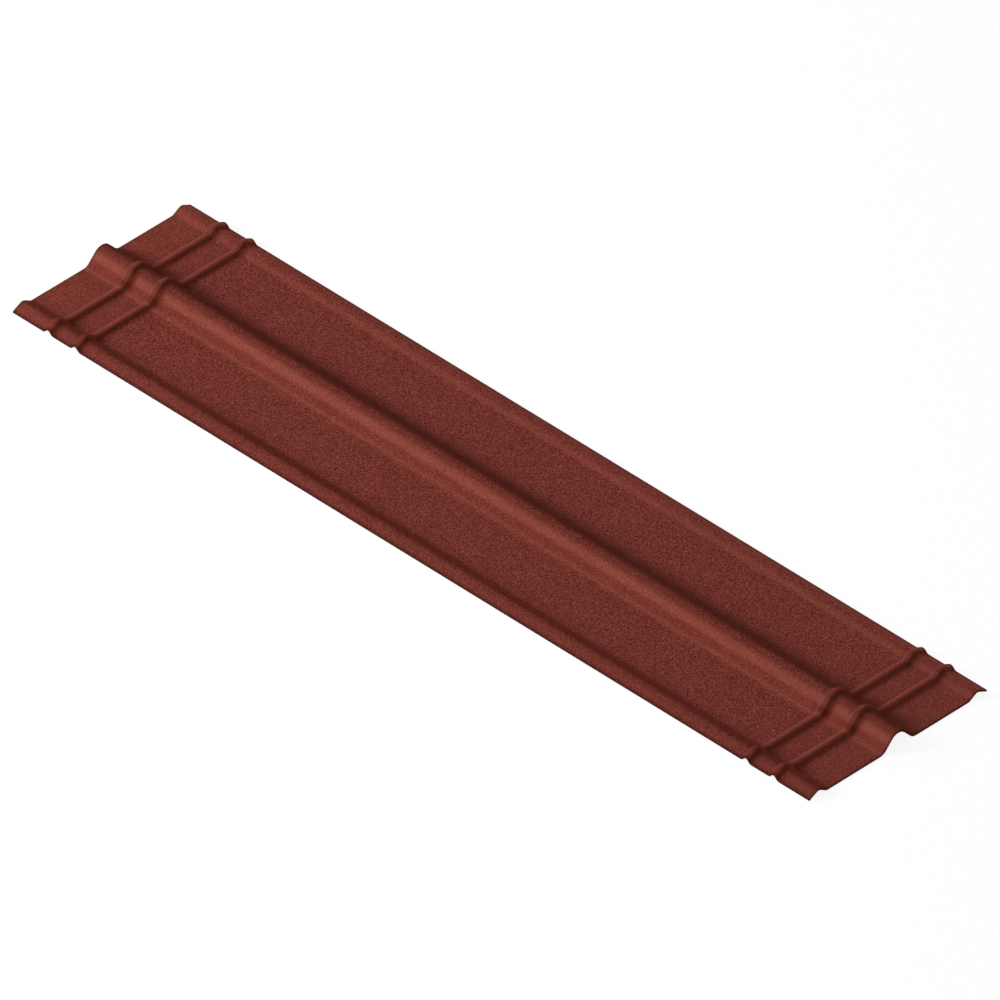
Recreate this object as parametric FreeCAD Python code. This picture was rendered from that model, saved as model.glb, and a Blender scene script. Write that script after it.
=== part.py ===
import FreeCAD, Part
import math
import os

# Roof ridge cap: one pressed sheet with a roll along its middle, two flat wings,
# a lip along each long edge and a pair of cross ribs near each end.
# X runs along the ridge, Y across it, and the undersides of the wings lie at Z = 0.
# Millimetres and degrees. Every radius and height is measured on the underside.

# Sheet
cap_length = 2000.0
cap_width = 445.0
sheet_thickness = 3.5

# Roll along the middle
roll_height = 29.5
roll_flank_angle = 47.0
roll_crest_radius = 20.5
roll_foot_radius = 21.5

# Lip along each long edge
lip_height = 10.5
lip_inner_angle = 31.0
lip_outer_angle = 26.5
lip_crest_radius = 10.0
lip_foot_radius = 14.0

# Cross ribs, which let the end of one cap nest over the end of the next
rib_height = 7.0
rib_flank_angle = 51.0
rib_crest_radius = 6.5
rib_distance_from_end = 89.0
rib_spacing = 68.5
ribs_per_end = 2

# Spare flange beyond the long edges, cut off upright after forming
trim_allowance = 5.0


def rise_of_bend(radius, angle):
    """Height gained by a bend that starts level."""
    return radius * (1 - math.cos(math.radians(angle)))


def reach_of_bend(radius, angle):
    """Distance covered across the cap by a bend that starts level."""
    return radius * math.sin(math.radians(angle))


# Straight runs that join the bends of the section
roll_flank_run = (
    roll_height - rise_of_bend(roll_crest_radius + roll_foot_radius, roll_flank_angle)
) / math.sin(math.radians(roll_flank_angle))
lip_inner_run = (
    lip_height - rise_of_bend(lip_crest_radius + lip_foot_radius, lip_inner_angle)
) / math.sin(math.radians(lip_inner_angle))
lip_outer_run = (
    lip_height - rise_of_bend(lip_crest_radius, lip_outer_angle)
) / math.sin(math.radians(lip_outer_angle))

# Widths of the roll and the lip across the cap, and the flat wing left between them
roll_half_width = (
    reach_of_bend(roll_crest_radius + roll_foot_radius, roll_flank_angle)
    + roll_flank_run * math.cos(math.radians(roll_flank_angle))
)
lip_width = (
    reach_of_bend(lip_crest_radius + lip_foot_radius, lip_inner_angle)
    + lip_inner_run * math.cos(math.radians(lip_inner_angle))
    + reach_of_bend(lip_crest_radius, lip_outer_angle)
    + lip_outer_run * math.cos(math.radians(lip_outer_angle))
)
wing_run = cap_width / 2 - roll_half_width - lip_width


def rib_centres():
    """Places of the ribs along the cap, from one end to the other."""
    from_end = [rib_distance_from_end + i * rib_spacing for i in range(ribs_per_end)]
    first_end = [-cap_length / 2 + distance for distance in from_end]
    last_end = [cap_length / 2 - distance for distance in reversed(from_end)]
    return first_end + last_end


def strip_point(x, z):
    return FreeCAD.Vector(x, 0, z)


def rib_half_width(depth):
    """Half the width of a rib, out to its creases, on the face that lies depth above the underside."""
    crest_radius = rib_crest_radius + depth
    flank_height = rib_height - rise_of_bend(crest_radius, rib_flank_angle)
    flank_reach = flank_height / math.tan(math.radians(rib_flank_angle))
    return reach_of_bend(crest_radius, rib_flank_angle) + flank_reach


def rib_edges(centre, depth):
    """Flank, crest and flank of one rib on the face that lies depth above the underside."""
    crest_radius = rib_crest_radius + depth
    crest_centre = rib_height - rib_crest_radius
    crest_points = []
    for angle in (-rib_flank_angle, 0, rib_flank_angle):
        x = centre + crest_radius * math.sin(math.radians(angle))
        z = crest_centre + crest_radius * math.cos(math.radians(angle))
        crest_points.append(strip_point(x, z))
    start = strip_point(centre - rib_half_width(depth), depth)
    end = strip_point(centre + rib_half_width(depth), depth)
    return [
        Part.makeLine(start, crest_points[0]),
        Part.Arc(*crest_points).toShape(),
        Part.makeLine(crest_points[-1], end),
    ]


def face_line(depth):
    """Edges along the cap of the face that lies depth above the underside."""
    edges = []
    reached = -cap_length / 2
    for centre in rib_centres():
        start = centre - rib_half_width(depth)
        edges.append(Part.makeLine(strip_point(reached, depth), strip_point(start, depth)))
        edges += rib_edges(centre, depth)
        reached = centre + rib_half_width(depth)
    edges.append(Part.makeLine(strip_point(reached, depth), strip_point(cap_length / 2, depth)))
    return edges


def strip_section():
    """Section of the sheet along the cap, with its ribs, standing on the X axis."""
    ends = []
    for x in (-cap_length / 2, cap_length / 2):
        ends.append(Part.makeLine(strip_point(x, 0), strip_point(x, sheet_thickness)))
    edges = face_line(0) + face_line(sheet_thickness) + ends
    return Part.Face(Part.Wire(Part.__sortEdges__(edges)))


class FormedSheet:
    """Carries the strip section across the cap, one straight run or bend at a time."""

    def __init__(self, y, z, heading):
        self.section = strip_section()
        self.place = FreeCAD.Vector(0, y, z)
        self.heading = heading
        self.pieces = []

    def along(self):
        angle = math.radians(self.heading)
        return FreeCAD.Vector(0, math.cos(angle), math.sin(angle))

    def upward(self):
        angle = math.radians(self.heading)
        return FreeCAD.Vector(0, -math.sin(angle), math.cos(angle))

    def placed_section(self):
        section = self.section.copy()
        section.rotate(FreeCAD.Vector(0, 0, 0), FreeCAD.Vector(1, 0, 0), self.heading)
        section.translate(self.place)
        return section

    def run(self, length):
        step = self.along() * length
        self.pieces.append(self.placed_section().extrude(step))
        self.place = self.place + step

    def bend(self, radius, turn):
        """Turn up by a positive angle, or down by a negative one."""
        centre = self.place + self.upward() * math.copysign(radius, turn)
        axis = FreeCAD.Vector(1, 0, 0)
        self.pieces.append(self.placed_section().revolve(centre, axis, turn))
        arm = FreeCAD.Rotation(axis, turn).multVec(self.place - centre)
        self.place = centre + arm
        self.heading += turn


def edge_to_roll():
    """Runs and bends from one long edge, with its spare flange, up to the crest of the roll."""
    return [
        (FormedSheet.run, lip_outer_run + trim_allowance),
        (FormedSheet.bend, lip_crest_radius, -lip_outer_angle - lip_inner_angle),
        (FormedSheet.run, lip_inner_run),
        (FormedSheet.bend, lip_foot_radius, lip_inner_angle),
        (FormedSheet.run, wing_run),
        (FormedSheet.bend, roll_foot_radius, roll_flank_angle),
        (FormedSheet.run, roll_flank_run),
    ]


def formed_sheet():
    """The whole sheet before its long edges are trimmed."""
    spare = math.radians(lip_outer_angle)
    start_y = -cap_width / 2 - trim_allowance * math.cos(spare)
    start_z = -trim_allowance * math.sin(spare)
    sheet = FormedSheet(start_y, start_z, lip_outer_angle)
    crest = (FormedSheet.bend, roll_crest_radius, -2 * roll_flank_angle)
    for step, *sizes in edge_to_roll() + [crest] + edge_to_roll()[::-1]:
        step(sheet, *sizes)
    return sheet.pieces[0].multiFuse(sheet.pieces[1:])


def ridge_cap():
    """The formed sheet with its long edges cut upright."""
    trim_height = roll_height + rib_height + sheet_thickness + 2 * trim_allowance
    corner = FreeCAD.Vector(-cap_length / 2 - trim_allowance, -cap_width / 2, -trim_allowance)
    trim = Part.makeBox(cap_length + 2 * trim_allowance, cap_width, trim_height, corner)
    return formed_sheet().common(trim).removeSplitter().Solids[0]


os.makedirs("parts", exist_ok=True)
ridge_cap().exportStep("parts/ridge_cap.step")
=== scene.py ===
import bpy
import math
from mathutils import Matrix, Vector


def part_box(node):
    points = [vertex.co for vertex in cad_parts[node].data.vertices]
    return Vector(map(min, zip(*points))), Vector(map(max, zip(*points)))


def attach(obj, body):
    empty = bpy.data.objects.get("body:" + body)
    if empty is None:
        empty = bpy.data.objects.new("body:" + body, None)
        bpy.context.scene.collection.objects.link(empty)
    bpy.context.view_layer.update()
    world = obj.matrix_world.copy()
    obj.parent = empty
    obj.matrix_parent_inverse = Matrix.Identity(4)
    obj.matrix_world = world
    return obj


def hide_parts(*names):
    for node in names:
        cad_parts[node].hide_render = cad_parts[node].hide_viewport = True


# Roof ridge cap: the looks of one pressed sheet with a grained, brick red coat.
# Metres and radians. X runs along the ridge, Y across it, and the wings lie on Z = 0.
# The near side is that of -Y, and the light comes from -X and -Y.

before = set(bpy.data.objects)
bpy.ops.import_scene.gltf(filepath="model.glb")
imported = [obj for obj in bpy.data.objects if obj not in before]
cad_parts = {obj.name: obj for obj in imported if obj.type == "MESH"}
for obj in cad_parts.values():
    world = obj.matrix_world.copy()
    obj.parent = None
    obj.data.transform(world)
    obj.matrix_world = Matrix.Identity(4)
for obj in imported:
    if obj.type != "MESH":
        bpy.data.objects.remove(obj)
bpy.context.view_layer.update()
sheet_low, sheet_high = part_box("ridge_cap")

# Sheet, roll, lips and ribs, as in the part; radii and heights are those of the underside
cap_length = sheet_high.x - sheet_low.x
cap_width = sheet_high.y - sheet_low.y
sheet_thickness = 0.0035
roll_height = 0.0295
roll_flank_angle = math.radians(47)
roll_crest_radius = 0.0205
roll_foot_radius = 0.0215
lip_height = 0.0105
lip_inner_angle = math.radians(31)
lip_outer_angle = math.radians(26.5)
lip_crest_radius = 0.010
lip_foot_radius = 0.014
rib_height = 0.007
rib_flank_angle = math.radians(51)
rib_crest_radius = 0.0065
rib_distance_from_end = 0.089
rib_spacing = 0.0685
ribs_per_end = 2

# Rounding of the ribs' feet on the upper face, and the slight waves of a pressed sheet
rib_foot_radius = 0.008
waviness = 0.00025
wave_scale = 7.0
seed = 4

# How finely the sheet is divided
bend_step = math.radians(6)
flange_step = 0.003
flank_step = 0.003
wing_step = 0.0045
plain_step = 0.012
rib_step = 0.001
rib_margin = 0.0005
sharp_edge_angle = 1.0

# Coat: granules and slow patches; colours are written as they are seen, 0 to 255
coat_dark = (81, 19, 10)
coat_light = (150, 84, 74)
coat_roughness = 0.9
coat_shine = 0.02
granule_scale = 880.0
granule_bias = 2.2
granule_relief = 0.0004
relief_strength = 0.25
patch_scale = 24.0
patch_seed = 3.0
patch_range = (0.3, 0.7)
patch_strength = 0.04
noise_detail = 2.0
noise_roughness = 0.6

# Strength of the grain on the wings; its share from the inner ribs out to the ends, and where it changes,
# in rib spacings inward from the outer rib; its share on a rib, and where it changes, in rib heights
plain_grain = 0.93
end_grain = 0.70
end_grain_range = (0.9, 1.1)
rib_grain = 0.5
rib_grain_range = (0.05, 0.4)

# Coat darker along the cut edges
edge_dark_margin = 0.0065
edge_dark_level = 0.68

# Bare fibre of the underside and of the cut edges
fibre_scale = 300.0
fibre_seed = 7.0
underside_dark = (40, 28, 25)
underside_light = (58, 42, 37)
underside_range = (0.35, 0.65)
cut_dark = (52, 19, 15)
cut_light = (76, 32, 27)
cut_range = (0.4, 0.65)

# Tints of the coat for each unit of a mark, all painted light and shade: paler for painted light, duller for
# painted shade, even for plain painted light or shade, deeper red for painted shade in hollows
painted_light_tint = Vector((0.19, 0.36, 0.32))
painted_shade_tint = Vector((0.19, 0.20, 0.22))
even_tint = Vector((1, 1, 1))
painted_deep_shade_tint = Vector((0, -0.19, -0.40))

# Painted light and shade along a rib: painted shade at its foot, a painted highlight on its crest, painted
# shade in its lee and beyond. Each zone starts, is full, fades and ends at these places, counted in half
# widths of the rib from its crest towards +X
rib_foot_painted_shade = Vector((-0.16, -0.16, -0.16))
rib_foot_zone = (-1.1, -0.85, -0.68, -0.48)
rib_crest_painted_highlight = Vector((0.20, 0.23, 0.23))
rib_crest_zone = (-0.5, -0.2, 0.05, 0.4)
rib_lee_painted_shade = Vector((-0.22, -0.30, -0.40))
rib_lee_zone = (0.3, 0.55, 0.8, 1.4)
rib_shade_tint = Vector((-0.60, -0.63, -0.66))
rib_shade_zone = (0.6, 0.9, 1.05, 1.65)

# Change of a rib's painted crest highlight and painted lee shade for each unit of slope, where the sheet
# rises and where it falls across the cap; the slope from which the painted shade shows; crest, lee and shade
# on the far flange
rising_change = (-3.2, 0.3)
falling_change = (-1.7, 2.0)
shade_from_slope = 0.2
far_flange_width = 0.021
far_flange_shading = (0.3, 1.8, 0.0)

# Painted light: the coat is lighter and warmer towards the end at -X, on the lamp's side; it is full up to
# this share of its reach
painted_end_light_tint = Vector((0.11, 0.10, 0.02))
painted_end_light_reach = 0.17
painted_end_light_full = 0.1

# Marks across the cap: the tint steps are painted light and shade, the grain steps set how strongly the
# grain shows; each step starts, ends and adds an amount.
# Steps of the roll are counted from its near foot, those of the lips from their own long edge.
# Painted highlights on the roll's near foot and shoulder, painted shade on its crest and far side
roll_painted_light_and_shade = (
    (-0.0132, -0.0032, 0.6), (-0.0042, 0.0035, 1.05), (0.0038, 0.0085, -1.45), (0.008, 0.0135, -0.8),
    (0.0185, 0.025, 1.7), (0.0288, 0.0384, -2.2), (0.042, 0.054, -0.8),
    (0.075, 0.091, 0.7), (0.090, 0.100, 0.6), (0.099, 0.112, 0.6),
)
# Painted shade, deeper red, at the roll's near foot and most of all in its far valley
roll_painted_deep_shade = (
    (-0.013, -0.004, 0.3), (0.004, 0.008, -0.3), (0.0125, 0.0155, 0.25), (0.0195, 0.0235, -0.25),
    (0.044, 0.054, 0.7), (0.075, 0.100, -0.7),
)
# Painted highlight on the ribs' crests over the roll, none past its far flank
roll_rib_painted_highlight = ((0.036, 0.046, 1.2), (0.048, 0.060, 1.5), (0.080, 0.095, -2.7))
# Painted end light across the roll: none on its near flank and crest
roll_painted_end_light = ((-0.030, -0.010, -1.0), (0.036, 0.046, 1.0))
roll_grain = (
    (-0.012, 0.007, -0.42), (0.008, 0.014, 0.09), (0.0185, 0.026, -0.22), (0.030, 0.045, 0.45),
    (0.046, 0.060, -0.20), (0.070, 0.084, -0.12), (0.095, 0.115, 0.42),
)
# Painted shade on the near lip: its flange, crest and valley darker
near_lip_painted_light_and_shade = (
    (-0.001, 0.0, -0.28), (0.002, 0.007, 0.15), (0.012, 0.019, -0.10), (0.019, 0.025, -0.10),
    (0.024, 0.033, 0.25), (0.033, 0.037, 0.05), (0.039, 0.046, -0.23), (0.048, 0.055, 0.17),
    (0.060, 0.080, 0.09),
)
# Painted shade, deeper red, on the near lip's inner side and valley
near_lip_painted_deep_shade = ((0.020, 0.029, 0.75), (0.044, 0.053, -0.75))
near_lip_grain = (
    (-0.001, 0.0, -0.31), (0.017, 0.0225, 0.20), (0.024, 0.0305, -0.35), (0.040, 0.047, 0.24),
    (0.050, 0.075, 0.22),
)
# Painted light on the far flange, with painted shade around the far lip's crest
far_lip_painted_light_and_shade = (
    (-0.001, 0.0, 0.19), (0.007, 0.0125, 0.29), (0.0165, 0.0245, -0.50), (0.0225, 0.028, -0.13),
    (0.028, 0.034, 0.05), (0.0375, 0.042, -0.02), (0.0435, 0.049, 0.12),
)
# Painted highlight on the far lip's inner flank
far_lip_painted_highlight = ((0.028, 0.034, 0.6), (0.037, 0.042, -0.6))
far_lip_grain = (
    (-0.001, 0.0, -0.25), (0.017, 0.0225, 0.22), (0.024, 0.033, -0.42), (0.037, 0.043, 0.35),
    (0.043, 0.055, 0.10),
)

# Light and floor; the floor's light is what falls on it in the open
ambient = 0.57
key_strength = 3.71
key_distance = 10.0
key_softness = math.radians(18)
key_from = Vector((-1.7, -1.85, 1.0))
floor_size = 60.0
floor_bounce = 0.75
floor_shade = 0.12
floor_light = 0.96
white = (1, 1, 1, 1)

# Camera with a long lens; the picture's middle lies a little right of the origin and above it
camera_azimuth = math.radians(45.05)
camera_elevation = math.radians(37.6)
camera_sensor = 36.0
camera_lens = 1600.0
camera_clip = (1.0, 300.0)
picture_width = 1.7743
picture_right = 0.0050
picture_above = 0.0020


def rise_of_bend(radius, angle):
    """Height gained by a bend that starts level."""
    return radius * (1 - math.cos(angle))


def reach_of_bend(radius, angle):
    """Distance covered by a bend that starts level."""
    return radius * math.sin(angle)


# Straight runs between the bends, and the flat wing
roll_flank_run = (
    roll_height - rise_of_bend(roll_crest_radius + roll_foot_radius, roll_flank_angle)
) / math.sin(roll_flank_angle)
lip_inner_run = (
    lip_height - rise_of_bend(lip_crest_radius + lip_foot_radius, lip_inner_angle)
) / math.sin(lip_inner_angle)
lip_outer_run = (
    lip_height - rise_of_bend(lip_crest_radius, lip_outer_angle)
) / math.sin(lip_outer_angle)
roll_half_width = (
    reach_of_bend(roll_crest_radius + roll_foot_radius, roll_flank_angle)
    + roll_flank_run * math.cos(roll_flank_angle)
)
lip_width = (
    reach_of_bend(lip_crest_radius + lip_foot_radius, lip_inner_angle)
    + lip_inner_run * math.cos(lip_inner_angle)
    + reach_of_bend(lip_crest_radius, lip_outer_angle)
    + lip_outer_run * math.cos(lip_outer_angle)
)
wing_run = cap_width / 2 - roll_half_width - lip_width

# Half the width of a rib where the rounding of its foot ends, the same on both faces
rib_flank_run = (
    rib_height - rise_of_bend(rib_crest_radius + sheet_thickness + rib_foot_radius, rib_flank_angle)
) / math.sin(rib_flank_angle)
rib_half_width = (
    reach_of_bend(rib_crest_radius + sheet_thickness + rib_foot_radius, rib_flank_angle)
    + rib_flank_run * math.cos(rib_flank_angle)
)


def placed(name, data):
    """A new object in the scene."""
    item = bpy.data.objects.new(name, data)
    bpy.context.scene.collection.objects.link(item)
    return item


# Coat across the cap

def eased(value, start, end):
    """0 before the start, 1 after the end, and a smooth change between."""
    share = min(max((value - start) / (end - start), 0), 1)
    return share * share * (3 - 2 * share)


def stepped(value, steps):
    """What the steps up to this value add up to."""
    return sum(amount * eased(value, start, end) for start, end, amount in steps)


def from_roll(place):
    """Distance across the cap from the near foot of the roll."""
    return place.y + roll_half_width


def from_near_edge(place):
    return place.y + cap_width / 2


def from_far_edge(place):
    return cap_width / 2 - place.y


def coat_tint(place):
    """What the coat's colour is multiplied by at this place across the cap: painted light and shade."""
    # Painted light and shade: paler for painted light, duller for painted shade, deeper red for painted
    # shade in the hollows
    painted_lightness = stepped(from_roll(place), roll_painted_light_and_shade)
    tint = even_tint + max(painted_lightness, 0) * painted_light_tint + min(painted_lightness, 0) * painted_shade_tint
    for mark, hue in (
        (stepped(from_roll(place), roll_painted_deep_shade), painted_deep_shade_tint),
        (stepped(from_near_edge(place), near_lip_painted_deep_shade), painted_deep_shade_tint),
        (stepped(from_near_edge(place), near_lip_painted_light_and_shade), even_tint),
        (stepped(from_far_edge(place), far_lip_painted_light_and_shade), even_tint),
        (stepped(from_far_edge(place), far_lip_painted_highlight), painted_light_tint),
    ):
        tint *= even_tint + mark * hue
    return tint


def coat_grain(place):
    """How strongly the granules show at this place across the cap."""
    return (
        plain_grain
        + stepped(from_roll(place), roll_grain)
        + stepped(from_near_edge(place), near_lip_grain)
        + stepped(from_far_edge(place), far_lip_grain)
    )


def painted_end_light_share(place):
    """How strongly the painted light of the lighter end at -X shows at this place across the cap."""
    return 1 + stepped(from_roll(place), roll_painted_end_light)


def rib_shading(place, heading):
    """How strongly a rib's painted crest highlight, painted lee shade and painted shade show at this place
    across the cap.
    """
    if from_far_edge(place) < far_flange_width:
        return far_flange_shading
    slope = math.sin(heading)
    crest_change, lee_change = rising_change if slope > 0 else falling_change
    crest = 1 + stepped(from_roll(place), roll_rib_painted_highlight) + crest_change * slope
    lee = 1 + lee_change * slope
    shade = max(slope - shade_from_slope, 0)
    return crest, lee, shade


# Lines that the sheet follows

def section_points():
    """Points across the cap on the underside, each with the sheet's heading there."""
    half = [
        ("run", lip_outer_run, flange_step),
        ("bend", lip_crest_radius, -lip_outer_angle - lip_inner_angle),
        ("run", lip_inner_run, flank_step),
        ("bend", lip_foot_radius, lip_inner_angle),
        ("run", wing_run, wing_step),
        ("bend", roll_foot_radius, roll_flank_angle),
        ("run", roll_flank_run, flank_step),
    ]
    crest = ("bend", roll_crest_radius, -2 * roll_flank_angle)
    place = Vector((0, -cap_width / 2, 0))
    heading = lip_outer_angle
    points = [(place, heading)]
    for kind, size, amount in half + [crest] + half[::-1]:
        if kind == "run":
            count = math.ceil(size / amount)
            turn = 0
            step = size / count
        else:
            count = math.ceil(abs(amount) / bend_step)
            turn = amount / count
            step = 2 * size * math.sin(abs(turn) / 2)
        for i in range(count):
            along = heading + turn / 2
            place = place + step * Vector((0, math.cos(along), math.sin(along)))
            heading += turn
            points.append((place, heading))
    return points


def spread(start, end, step):
    """Places from start to end, the end left out, no further apart than the step."""
    count = max(1, math.ceil((end - start) / step))
    return [start + (end - start) * i / count for i in range(count)]


def station_points():
    """Points along the cap, closer together on the ribs."""
    reach = rib_half_width + rib_margin
    from_end = [rib_distance_from_end + i * rib_spacing for i in range(ribs_per_end)]
    centres = [-cap_length / 2 + distance for distance in from_end]
    centres += [cap_length / 2 - distance for distance in reversed(from_end)]
    places = []
    reached = -cap_length / 2
    for centre in centres:
        places += spread(reached, centre - reach, plain_step)
        places += spread(centre - reach, centre + reach, rib_step)
        reached = centre + reach
    places += spread(reached, cap_length / 2, plain_step)
    return [Vector((place, 0, 0)) for place in places + [cap_length / 2]]


def guide_line(name, points, **marks):
    """A line of points for the sheet to follow, taken away once the sheet is made."""
    mesh = bpy.data.meshes.new(name)
    mesh.from_pydata(points, [(i, i + 1) for i in range(len(points) - 1)], [])
    for mark, values in marks.items():
        if isinstance(values[0], Vector):
            flat = [part for value in values for part in value]
            mesh.attributes.new(mark, "FLOAT_VECTOR", "POINT").data.foreach_set("vector", flat)
        else:
            mesh.attributes.new(mark, "FLOAT", "POINT").data.foreach_set("value", values)
    return placed(name, mesh)


def section_guide():
    """The section line, with what the sheet and its coat need to know across the cap."""
    section = section_points()
    places, headings = zip(*section)
    crest_shares, lee_shares, shade_shares = zip(*(rib_shading(*point) for point in section))
    return guide_line(
        "section_line", places, heading=headings,
        tint=[coat_tint(place) for place in places],
        grain=[coat_grain(place) for place in places],
        pale_end=[painted_end_light_share(place) for place in places],
        rib_crest=crest_shares, rib_lee=lee_shares, rib_shade=shade_shares,
    )


# Building blocks for the node trees

class Wiring:
    """Adds nodes to a tree and joins them; a number or a socket can feed any input."""

    def __init__(self, tree):
        self.tree = tree

    def feed(self, socket, value):
        if isinstance(value, bpy.types.NodeSocket):
            self.tree.links.new(value, socket)
        else:
            socket.default_value = value

    def add(self, kind, settings=None, **inputs):
        node = self.tree.nodes.new(kind)
        for name, value in (settings or {}).items():
            setattr(node, name, value)
        for name, value in inputs.items():
            self.feed(node.inputs[name.replace("_", " ")], value)
        return node

    def worked(self, kind, operation, values):
        node = self.add(kind, {"operation": operation})
        for socket, value in zip(node.inputs, values):
            self.feed(socket, value)
        return node.outputs[0]

    def calc(self, operation, *values):
        return self.worked("ShaderNodeMath", operation, values)

    def arrows(self, operation, *values):
        return self.worked("ShaderNodeVectorMath", operation, values)

    def scaled(self, arrow, factor):
        node = self.add("ShaderNodeVectorMath", {"operation": "SCALE"}, Scale=factor)
        self.feed(node.inputs[0], arrow)
        return node.outputs[0]

    def arrow(self, x, y, z):
        return self.add("ShaderNodeCombineXYZ", X=x, Y=y, Z=z).outputs[0]

    def parts(self, arrow):
        return self.add("ShaderNodeSeparateXYZ", Vector=arrow).outputs

    def mixed(self, factor, low, high):
        """low + factor * (high - low), for plain numbers."""
        return self.calc("MULTIPLY_ADD", factor, self.calc("SUBTRACT", high, low), low)

    def ranged(self, value, start, end, low, high):
        """A smooth change from low at the start to high at the end."""
        node = self.add(
            "ShaderNodeMapRange", {"interpolation_type": "SMOOTHSTEP"},
            Value=value, From_Min=start, From_Max=end, To_Min=low, To_Max=high,
        )
        return node.outputs[0]


# The sheet as a node tree

def sheet_inputs(section_line, station_line, finish):
    """Inputs of the tree: the name, kind and value of each."""
    return (
        ("Section line", "Object", section_line),
        ("Station line", "Object", station_line),
        ("Section points", "Int", len(section_line.data.vertices)),
        ("Station points", "Int", len(station_line.data.vertices)),
        ("Cap length", "Float", cap_length),
        ("Cap width", "Float", cap_width),
        ("Sheet thickness", "Float", sheet_thickness),
        ("Rib height", "Float", rib_height),
        ("Rib flank angle", "Float", rib_flank_angle),
        ("Rib crest radius", "Float", rib_crest_radius),
        ("Rib foot radius", "Float", rib_foot_radius),
        ("Rib half width", "Float", rib_half_width),
        ("Rib distance from end", "Float", rib_distance_from_end),
        ("Rib spacing", "Float", rib_spacing),
        ("Ribs per end", "Int", ribs_per_end),
        ("Rib foot painted shade", "Vector", rib_foot_painted_shade),
        ("Rib crest painted highlight", "Vector", rib_crest_painted_highlight),
        ("Rib lee painted shade", "Vector", rib_lee_painted_shade),
        ("Rib shade tint", "Vector", rib_shade_tint),
        ("Painted end light tint", "Vector", painted_end_light_tint),
        ("Painted end light reach", "Float", painted_end_light_reach),
        ("End grain", "Float", end_grain),
        ("Waviness", "Float", waviness),
        ("Wave scale", "Float", wave_scale),
        ("Seed", "Int", seed),
        ("Finish", "Material", finish),
    )


class SheetWiring(Wiring):
    """Wiring of the sheet's tree, which knows where each point of the slab lies on the sheet."""

    def __init__(self, tree):
        super().__init__(tree)
        calc = self.calc
        self.given = given = self.add("NodeGroupInput").outputs
        self.where = self.add("GeometryNodeInputPosition").outputs[0]

        # Place in the slab, counted along the stations and across the section
        grid = self.parts(self.where)
        station = self.counted(grid["X"], given["Station points"])
        self.across = self.counted(grid["Y"], given["Section points"])
        self.across_share = grid["Y"]
        on_upper_face = calc("GREATER_THAN", grid["Z"], 0)
        self.depth = calc("MULTIPLY", on_upper_face, given["Sheet thickness"])
        self.along_x = self.parts(self.read(given["Station line"], self.where, "FLOAT_VECTOR", station))["X"]

        # Distance inward from the outer rib, and from the crest of the nearest rib
        half_length = calc("MULTIPLY", given["Cap length"], 0.5)
        outer_rib = calc("SUBTRACT", half_length, given["Rib distance from end"])
        self.inward = calc("SUBTRACT", outer_rib, calc("ABSOLUTE", self.along_x))
        nearest = calc("ROUND", calc("DIVIDE", self.inward, given["Rib spacing"]))
        nearest = calc("MAXIMUM", nearest, 0)
        nearest = calc("MINIMUM", nearest, calc("SUBTRACT", given["Ribs per end"], 1))
        self.offset = calc("SUBTRACT", self.inward, calc("MULTIPLY", nearest, given["Rib spacing"]))

    def counted(self, share, points):
        """Number of a point in a row, from its place in the slab, -0.5 to 0.5."""
        whole = self.add("FunctionNodeFloatToInt", {"rounding_mode": "ROUND"})
        last = self.calc("SUBTRACT", points, 1)
        self.feed(whole.inputs[0], self.calc("MULTIPLY", self.calc("ADD", share, 0.5), last))
        return whole.outputs[0]

    def read(self, line, value, kind, index):
        """A value of one point of a guide line."""
        shape = self.add("GeometryNodeObjectInfo", Object=line).outputs["Geometry"]
        sample = self.add(
            "GeometryNodeSampleIndex", {"data_type": kind}, Geometry=shape, Value=value, Index=index,
        )
        return sample.outputs[0]

    def noted(self, name, kind="FLOAT"):
        """A mark of the section line at this place across the cap."""
        mark = self.add("GeometryNodeInputNamedAttribute", {"data_type": kind}, Name=name).outputs[0]
        return self.read(self.given["Section line"], mark, kind, self.across)

    def marked(self, shape, name, domain, value, kind="FLOAT"):
        """The shape with a mark that its finish can read."""
        node = self.add(
            "GeometryNodeStoreNamedAttribute", {"data_type": kind, "domain": domain},
            Geometry=shape, Name=name, Value=value,
        )
        return node.outputs[0]


def rib_rise(w):
    """Height of the rib over the plain sheet: crest, flank and rounded foot."""
    calc = w.calc
    given = w.given
    turn = given["Rib flank angle"]
    aside = calc("ABSOLUTE", w.offset)

    def arc(radius, distance):
        """Height of an arc over the level of its middle."""
        inside = calc("SUBTRACT", calc("MULTIPLY", radius, radius), calc("MULTIPLY", distance, distance))
        return calc("SQRT", calc("MAXIMUM", inside, 0))

    radius = calc("ADD", given["Rib crest radius"], w.depth)
    middle = calc("SUBTRACT", given["Rib height"], radius)
    crest = calc("ADD", middle, arc(radius, aside))
    crest_reach = calc("MULTIPLY", radius, calc("SINE", turn))
    drop = calc("MULTIPLY", calc("SUBTRACT", aside, crest_reach), calc("TANGENT", turn))
    flank_top = calc("ADD", middle, calc("MULTIPLY", radius, calc("COSINE", turn)))
    flank = calc("SUBTRACT", flank_top, drop)
    foot_radius = calc("SUBTRACT", calc("ADD", given["Rib foot radius"], given["Sheet thickness"]), w.depth)
    to_foot = calc("MAXIMUM", calc("SUBTRACT", given["Rib half width"], aside), 0)
    foot = calc("SUBTRACT", foot_radius, arc(foot_radius, to_foot))
    on_crest = calc("LESS_THAN", aside, crest_reach)
    on_foot = calc("LESS_THAN", to_foot, calc("MULTIPLY", foot_radius, calc("SINE", turn)))
    return w.mixed(on_crest, w.mixed(on_foot, flank, foot), crest)


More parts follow.
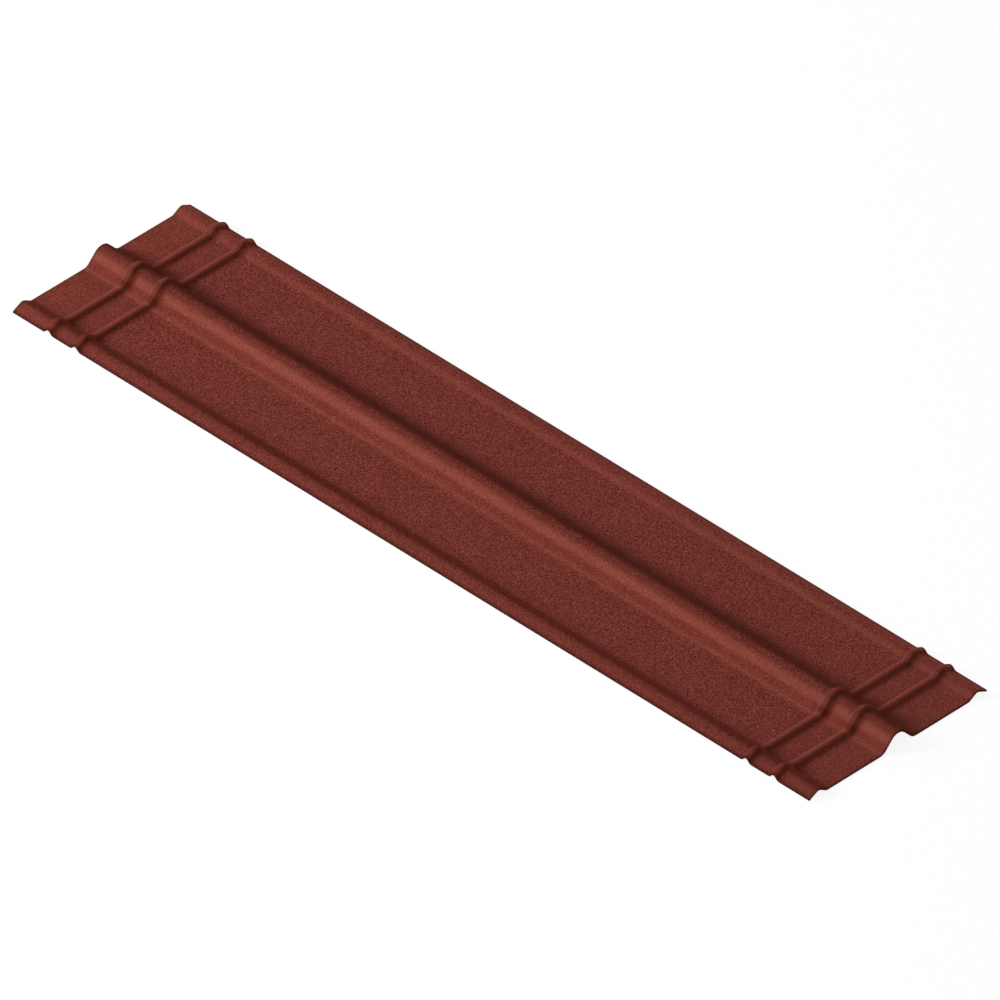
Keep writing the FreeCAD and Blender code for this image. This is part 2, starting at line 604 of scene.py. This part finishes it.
def sheet_place(w, rise):
    """Where a point of the slab goes: bent to the section, raised over the ribs and trimmed upright."""
    calc = w.calc
    given = w.given
    heading = w.noted("heading")
    flat = calc("COSINE", heading)
    steep = calc("SINE", heading)
    onward = w.arrow(0, flat, steep)
    upward = w.arrow(0, calc("MULTIPLY", steep, -1), flat)

    noise = w.add(
        "ShaderNodeTexNoise", {"noise_dimensions": "4D"},
        Vector=w.arrow(w.along_x, w.across_share, 0),
        W=given["Seed"], Scale=given["Wave scale"], Detail=1.0,
    ).outputs[0]
    wave = calc("MULTIPLY", calc("SUBTRACT", noise, 0.5), given["Waviness"])
    height = calc("ADD", calc("ADD", w.depth, rise), wave)
    section_place = w.read(given["Section line"], w.where, "FLOAT_VECTOR", w.across)
    place = w.arrows("ADD", section_place, w.scaled(upward, height))
    place = w.arrows("ADD", place, w.arrow(w.along_x, 0, 0))

    # Points past a long edge slide back along the flange
    reached = w.parts(place)["Y"]
    edge = calc("MULTIPLY", given["Cap width"], 0.5)
    kept = calc("MINIMUM", calc("MAXIMUM", reached, calc("MULTIPLY", edge, -1)), edge)
    back = calc("DIVIDE", calc("SUBTRACT", kept, reached), flat)
    return w.arrows("ADD", place, w.scaled(onward, back))


def sheet_tint(w):
    """Tint of the coat, all painted light and shade: that of the section, changed along the ribs and towards
    the lighter end at -X.
    """
    calc = w.calc
    given = w.given
    other_end = calc("MULTIPLY_ADD", calc("GREATER_THAN", w.along_x, 0), -2, 1)
    ahead = calc("DIVIDE", calc("MULTIPLY", w.offset, other_end), given["Rib half width"])

    def zone(start, full, fading, end):
        """1 between full and fading, and 0 outside start and end."""
        return calc("MULTIPLY", w.ranged(ahead, start, full, 0, 1), w.ranged(ahead, fading, end, 1, 0))

    # Painted shade at each rib's foot, a painted highlight on its crest, painted shade in its lee and beyond
    at_foot = zone(*rib_foot_zone)
    on_top = calc("MULTIPLY", zone(*rib_crest_zone), w.noted("rib_crest"))
    in_lee = calc("MULTIPLY", zone(*rib_lee_zone), w.noted("rib_lee"))
    in_shade = calc("MULTIPLY", zone(*rib_shade_zone), w.noted("rib_shade"))
    tint = w.arrows("ADD", w.scaled(given["Rib foot painted shade"], at_foot), even_tint)
    tint = w.arrows("ADD", tint, w.scaled(given["Rib crest painted highlight"], on_top))
    tint = w.arrows("ADD", tint, w.scaled(given["Rib lee painted shade"], in_lee))
    tint = w.arrows("ADD", tint, w.scaled(given["Rib shade tint"], in_shade))
    tint = w.arrows("MULTIPLY", tint, w.noted("tint", "FLOAT_VECTOR"))

    # Painted light: lighter and warmer towards the end at -X, on the lamp's side
    from_painted_end_light = calc("MULTIPLY_ADD", given["Cap length"], 0.5, w.along_x)
    painted_end_light_part = calc("DIVIDE", from_painted_end_light, given["Painted end light reach"])
    at_painted_end_light = calc("MULTIPLY", w.ranged(painted_end_light_part, painted_end_light_full, 1.0, 1, 0), w.noted("pale_end"))
    painted_end_light_hue = w.arrows("ADD", w.scaled(given["Painted end light tint"], at_painted_end_light), even_tint)
    return w.arrows("MULTIPLY", tint, painted_end_light_hue)


def coat_marks(w, shape, rise):
    """The shape with marks for its finish: cut edges, underside, rise of the ribs, grain, and the tint of
    painted light and shade.
    """
    calc = w.calc
    facing = w.parts(w.add("GeometryNodeInputNormal").outputs[0])["Z"]
    past_ribs = w.ranged(calc("DIVIDE", w.inward, w.given["Rib spacing"]), *end_grain_range, 1, 0)
    grain = calc("MULTIPLY", w.noted("grain"), w.mixed(past_ribs, 1.0, w.given["End grain"]))
    shape = w.marked(shape, "cut_edge", "FACE", calc("LESS_THAN", calc("ABSOLUTE", facing), 0.5))
    shape = w.marked(shape, "underside", "FACE", calc("LESS_THAN", facing, -0.5))
    shape = w.marked(shape, "rib_rise", "POINT", calc("DIVIDE", rise, w.given["Rib height"]))
    shape = w.marked(shape, "grain", "POINT", grain)
    return w.marked(shape, "tint", "POINT", sheet_tint(w), "FLOAT_VECTOR")


def sheet_tree(inputs):
    """A closed slab, formed into the sheet."""
    tree = bpy.data.node_groups.new("pressed_sheet", "GeometryNodeTree")
    for name, kind, value in inputs:
        tree.interface.new_socket(name, in_out="INPUT", socket_type="NodeSocket" + kind)
    tree.interface.new_socket("Sheet", in_out="OUTPUT", socket_type="NodeSocketGeometry")
    w = SheetWiring(tree)
    shape = w.add(
        "GeometryNodeMeshCube", Size=(1, 1, 1), Vertices_X=w.given["Station points"],
        Vertices_Y=w.given["Section points"], Vertices_Z=2,
    ).outputs["Mesh"]
    rise = rib_rise(w)
    shape = coat_marks(w, shape, rise)
    shape = w.add("GeometryNodeSetPosition", Geometry=shape, Position=sheet_place(w, rise)).outputs[0]
    shape = w.add("GeometryNodeSetShadeSmooth", {"domain": "FACE"}, Geometry=shape).outputs[0]
    sharp = w.calc("GREATER_THAN", w.add("GeometryNodeInputMeshEdgeAngle").outputs[0], sharp_edge_angle)
    shape = w.add(
        "GeometryNodeSetShadeSmooth", {"domain": "EDGE"},
        Geometry=shape, Selection=sharp, Shade_Smooth=False,
    ).outputs[0]
    shape = w.add("GeometryNodeRealizeInstances", Geometry=shape).outputs[0]
    shape = w.add("GeometryNodeSetMaterial", Geometry=shape, Material=w.given["Finish"]).outputs[0]
    w.add("NodeGroupOutput", Sheet=shape)
    return tree


def pressed_sheet(finish):
    """The sheet as one plain mesh."""
    section_line = section_guide()
    station_line = guide_line("station_line", station_points())
    inputs = sheet_inputs(section_line, station_line, finish)
    values = {name: value for name, kind, value in inputs}
    blank = placed("blank", bpy.data.meshes.new("blank"))
    modifier = blank.modifiers.new("pressed_sheet", "NODES")
    modifier.node_group = sheet_tree(inputs)
    for item in modifier.node_group.interface.items_tree:
        if item.in_out == "INPUT":
            modifier[item.identifier] = values[item.name]
    formed = blank.evaluated_get(bpy.context.evaluated_depsgraph_get())
    mesh = bpy.data.meshes.new_from_object(formed)
    mesh.name = "pressed_sheet"
    blank.modifiers.remove(modifier)
    for spare in (blank, section_line, station_line):
        bpy.data.objects.remove(spare)
    return placed("pressed_sheet", mesh)


# Finishes

class FinishWiring(Wiring):
    """Wiring of a new material's tree."""

    def __init__(self, name):
        self.material = bpy.data.materials.new(name)
        self.material.use_nodes = True
        super().__init__(self.material.node_tree)
        self.tree.nodes.clear()

    def noise(self, place, scale, seed):
        node = self.add(
            "ShaderNodeTexNoise", {"noise_dimensions": "4D"},
            Vector=place, W=seed, Scale=scale, Detail=noise_detail, Roughness=noise_roughness,
        )
        return node.outputs[0]

    def mark(self, name, kind="Fac"):
        return self.add("ShaderNodeAttribute", {"attribute_name": name}).outputs[kind]

    def grey(self, value):
        return self.add("ShaderNodeCombineColor", Red=value, Green=value, Blue=value).outputs[0]

    def blended(self, factor, low, high, mode="MIX"):
        """A mix of two colours, which are the seventh and eighth sockets of the node."""
        node = self.add("ShaderNodeMix", {"data_type": "RGBA", "blend_type": mode})
        self.feed(node.inputs[0], factor)
        self.feed(node.inputs[6], low)
        self.feed(node.inputs[7], high)
        return node.outputs[2]

    def multiplied(self, one, other):
        return self.blended(1.0, one, other, "MULTIPLY")


def colour(red, green, blue):
    """A colour written as it is seen, 0 to 255, as the shader's own numbers."""
    def plain(value):
        value = value / 255
        return value / 12.92 if value <= 0.04045 else ((value + 0.055) / 1.055) ** 2.4
    return (plain(red), plain(green), plain(blue), 1.0)


def granule_coat(w, place, granule_colour):
    """Granules, each with a tone of its own, in slow patches, tinted with painted light and shade, and
    darker along the cut edges.
    """
    calc = w.calc
    granule_tone = w.add("ShaderNodeSeparateColor", Color=granule_colour).outputs[0]
    granule_tone = calc("POWER", granule_tone, granule_bias)
    middle_tone = 1 / (granule_bias + 1)
    rib_share = w.ranged(w.mark("rib_rise"), *rib_grain_range, 1.0, rib_grain)
    strength = calc("MULTIPLY", w.mark("grain"), rib_share)
    tone = calc("MULTIPLY_ADD", calc("SUBTRACT", granule_tone, middle_tone), strength, middle_tone)
    coat = w.blended(tone, colour(*coat_dark), colour(*coat_light))
    patches = w.noise(place, patch_scale, patch_seed)
    patch_shade = w.ranged(patches, *patch_range, 1 - patch_strength, 1 + patch_strength)
    coat = w.multiplied(coat, w.grey(patch_shade))
    # Painted light and shade from the tint mark
    coat = w.multiplied(coat, w.mark("tint", "Color"))
    # Darker along the cut edges
    spot = w.parts(place)
    to_end = calc("SUBTRACT", cap_length / 2, calc("ABSOLUTE", spot["X"]))
    to_edge = calc("SUBTRACT", cap_width / 2, calc("ABSOLUTE", spot["Y"]))
    edge_dark = w.ranged(calc("MINIMUM", to_end, to_edge), 0.0, edge_dark_margin, edge_dark_level, 1.0)
    return w.multiplied(coat, w.grey(edge_dark))


def coat_finish():
    """Brick red coat of fine granules; bare dark fibre on the underside and the cut edges."""
    w = FinishWiring("brick_red_coat")
    place = w.add("ShaderNodeTexCoord").outputs["Object"]
    granules = w.add("ShaderNodeTexVoronoi", Vector=place, Scale=granule_scale).outputs
    coat = granule_coat(w, place, granules["Color"])
    fibre = w.noise(place, fibre_scale, fibre_seed)
    underside_tone = w.ranged(fibre, *underside_range, 0.0, 1.0)
    underside = w.blended(underside_tone, colour(*underside_dark), colour(*underside_light))
    cut_edge = w.blended(w.ranged(fibre, *cut_range, 0.0, 1.0), colour(*cut_dark), colour(*cut_light))
    shown = w.blended(w.mark("underside"), coat, underside)
    shown = w.blended(w.mark("cut_edge"), shown, cut_edge)
    relief = w.calc("MULTIPLY", granules["Distance"], -1.0)
    bump = w.add(
        "ShaderNodeBump", Strength=relief_strength, Distance=granule_relief, Height=relief,
    ).outputs[0]
    surface = w.add(
        "ShaderNodeBsdfPrincipled",
        Base_Color=shown, Roughness=coat_roughness, Specular_IOR_Level=coat_shine, Normal=bump,
    ).outputs[0]
    w.add("ShaderNodeOutputMaterial", Surface=surface)
    return w.material


def floor_finish():
    """Pale floor that is white to the eye and still takes the shadow."""
    w = FinishWiring("studio_floor")
    to_camera = w.add("ShaderNodeLightPath").outputs["Is Camera Ray"]
    shade = w.grey(w.mixed(to_camera, floor_bounce, floor_shade))
    matt = w.add("ShaderNodeBsdfDiffuse", Color=shade).outputs[0]
    glow_strength = w.calc("MULTIPLY", to_camera, 1 - floor_shade * floor_light)
    glow = w.add("ShaderNodeEmission", Color=white, Strength=glow_strength).outputs[0]
    both = w.add("ShaderNodeAddShader")
    w.feed(both.inputs[0], matt)
    w.feed(both.inputs[1], glow)
    w.add("ShaderNodeOutputMaterial", Surface=both.outputs[0])
    return w.material


# Floor, light and camera

def studio_floor():
    mesh = bpy.data.meshes.new("studio_floor")
    half = floor_size / 2
    corners = [(-half, -half, 0), (half, -half, 0), (half, half, 0), (-half, half, 0)]
    mesh.from_pydata(corners, [], [(0, 1, 2, 3)])
    mesh.materials.append(floor_finish())
    return placed("studio_floor", mesh)


def studio_sky():
    """Soft light from all round, white where it is seen."""
    world = bpy.data.worlds.new("studio")
    world.use_nodes = True
    world.node_tree.nodes.clear()
    w = Wiring(world.node_tree)
    rays = w.add("ShaderNodeLightPath").outputs
    mirrored = w.calc("MAXIMUM", rays["Is Glossy Ray"], rays["Is Transmission Ray"])
    seen = w.calc("MAXIMUM", rays["Is Camera Ray"], mirrored)
    sky = w.add("ShaderNodeBackground", Color=white, Strength=w.mixed(seen, ambient, 1.0)).outputs[0]
    w.add("ShaderNodeOutputWorld", Surface=sky)
    return world


def key_light():
    """One round, soft lamp."""
    lamp = bpy.data.lights.new("key_lamp", "AREA")
    lamp.shape = "DISK"
    lamp.size = 2 * key_distance * math.tan(key_softness / 2)
    lamp.energy = key_strength * math.pi * key_distance ** 2
    key = placed("key_lamp", lamp)
    key.location = key_from.normalized() * key_distance
    key.rotation_mode = "QUATERNION"
    key.rotation_quaternion = key_from.to_track_quat("Z", "Y")


def studio_camera():
    data = bpy.data.cameras.new("camera")
    data.sensor_width = camera_sensor
    data.lens = camera_lens
    data.clip_start, data.clip_end = camera_clip
    right = Vector((math.cos(camera_azimuth), math.sin(camera_azimuth), 0))
    behind = Vector((
        math.sin(camera_azimuth) * math.cos(camera_elevation),
        -math.cos(camera_azimuth) * math.cos(camera_elevation),
        math.sin(camera_elevation),
    ))
    above = behind.cross(right)
    distance = picture_width * camera_lens / camera_sensor
    spot = right * picture_right + above * picture_above + behind * distance
    camera = placed("camera", data)
    camera.matrix_world = Matrix.Translation(spot) @ Matrix((right, above, behind)).transposed().to_4x4()
    return camera


sheet = pressed_sheet(coat_finish())
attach(sheet, "root")
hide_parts("ridge_cap")

floor = studio_floor()
key_light()
bpy.context.scene.world = studio_sky()
bpy.context.scene.camera = studio_camera()
bpy.context.scene.view_settings.view_transform = "Standard"
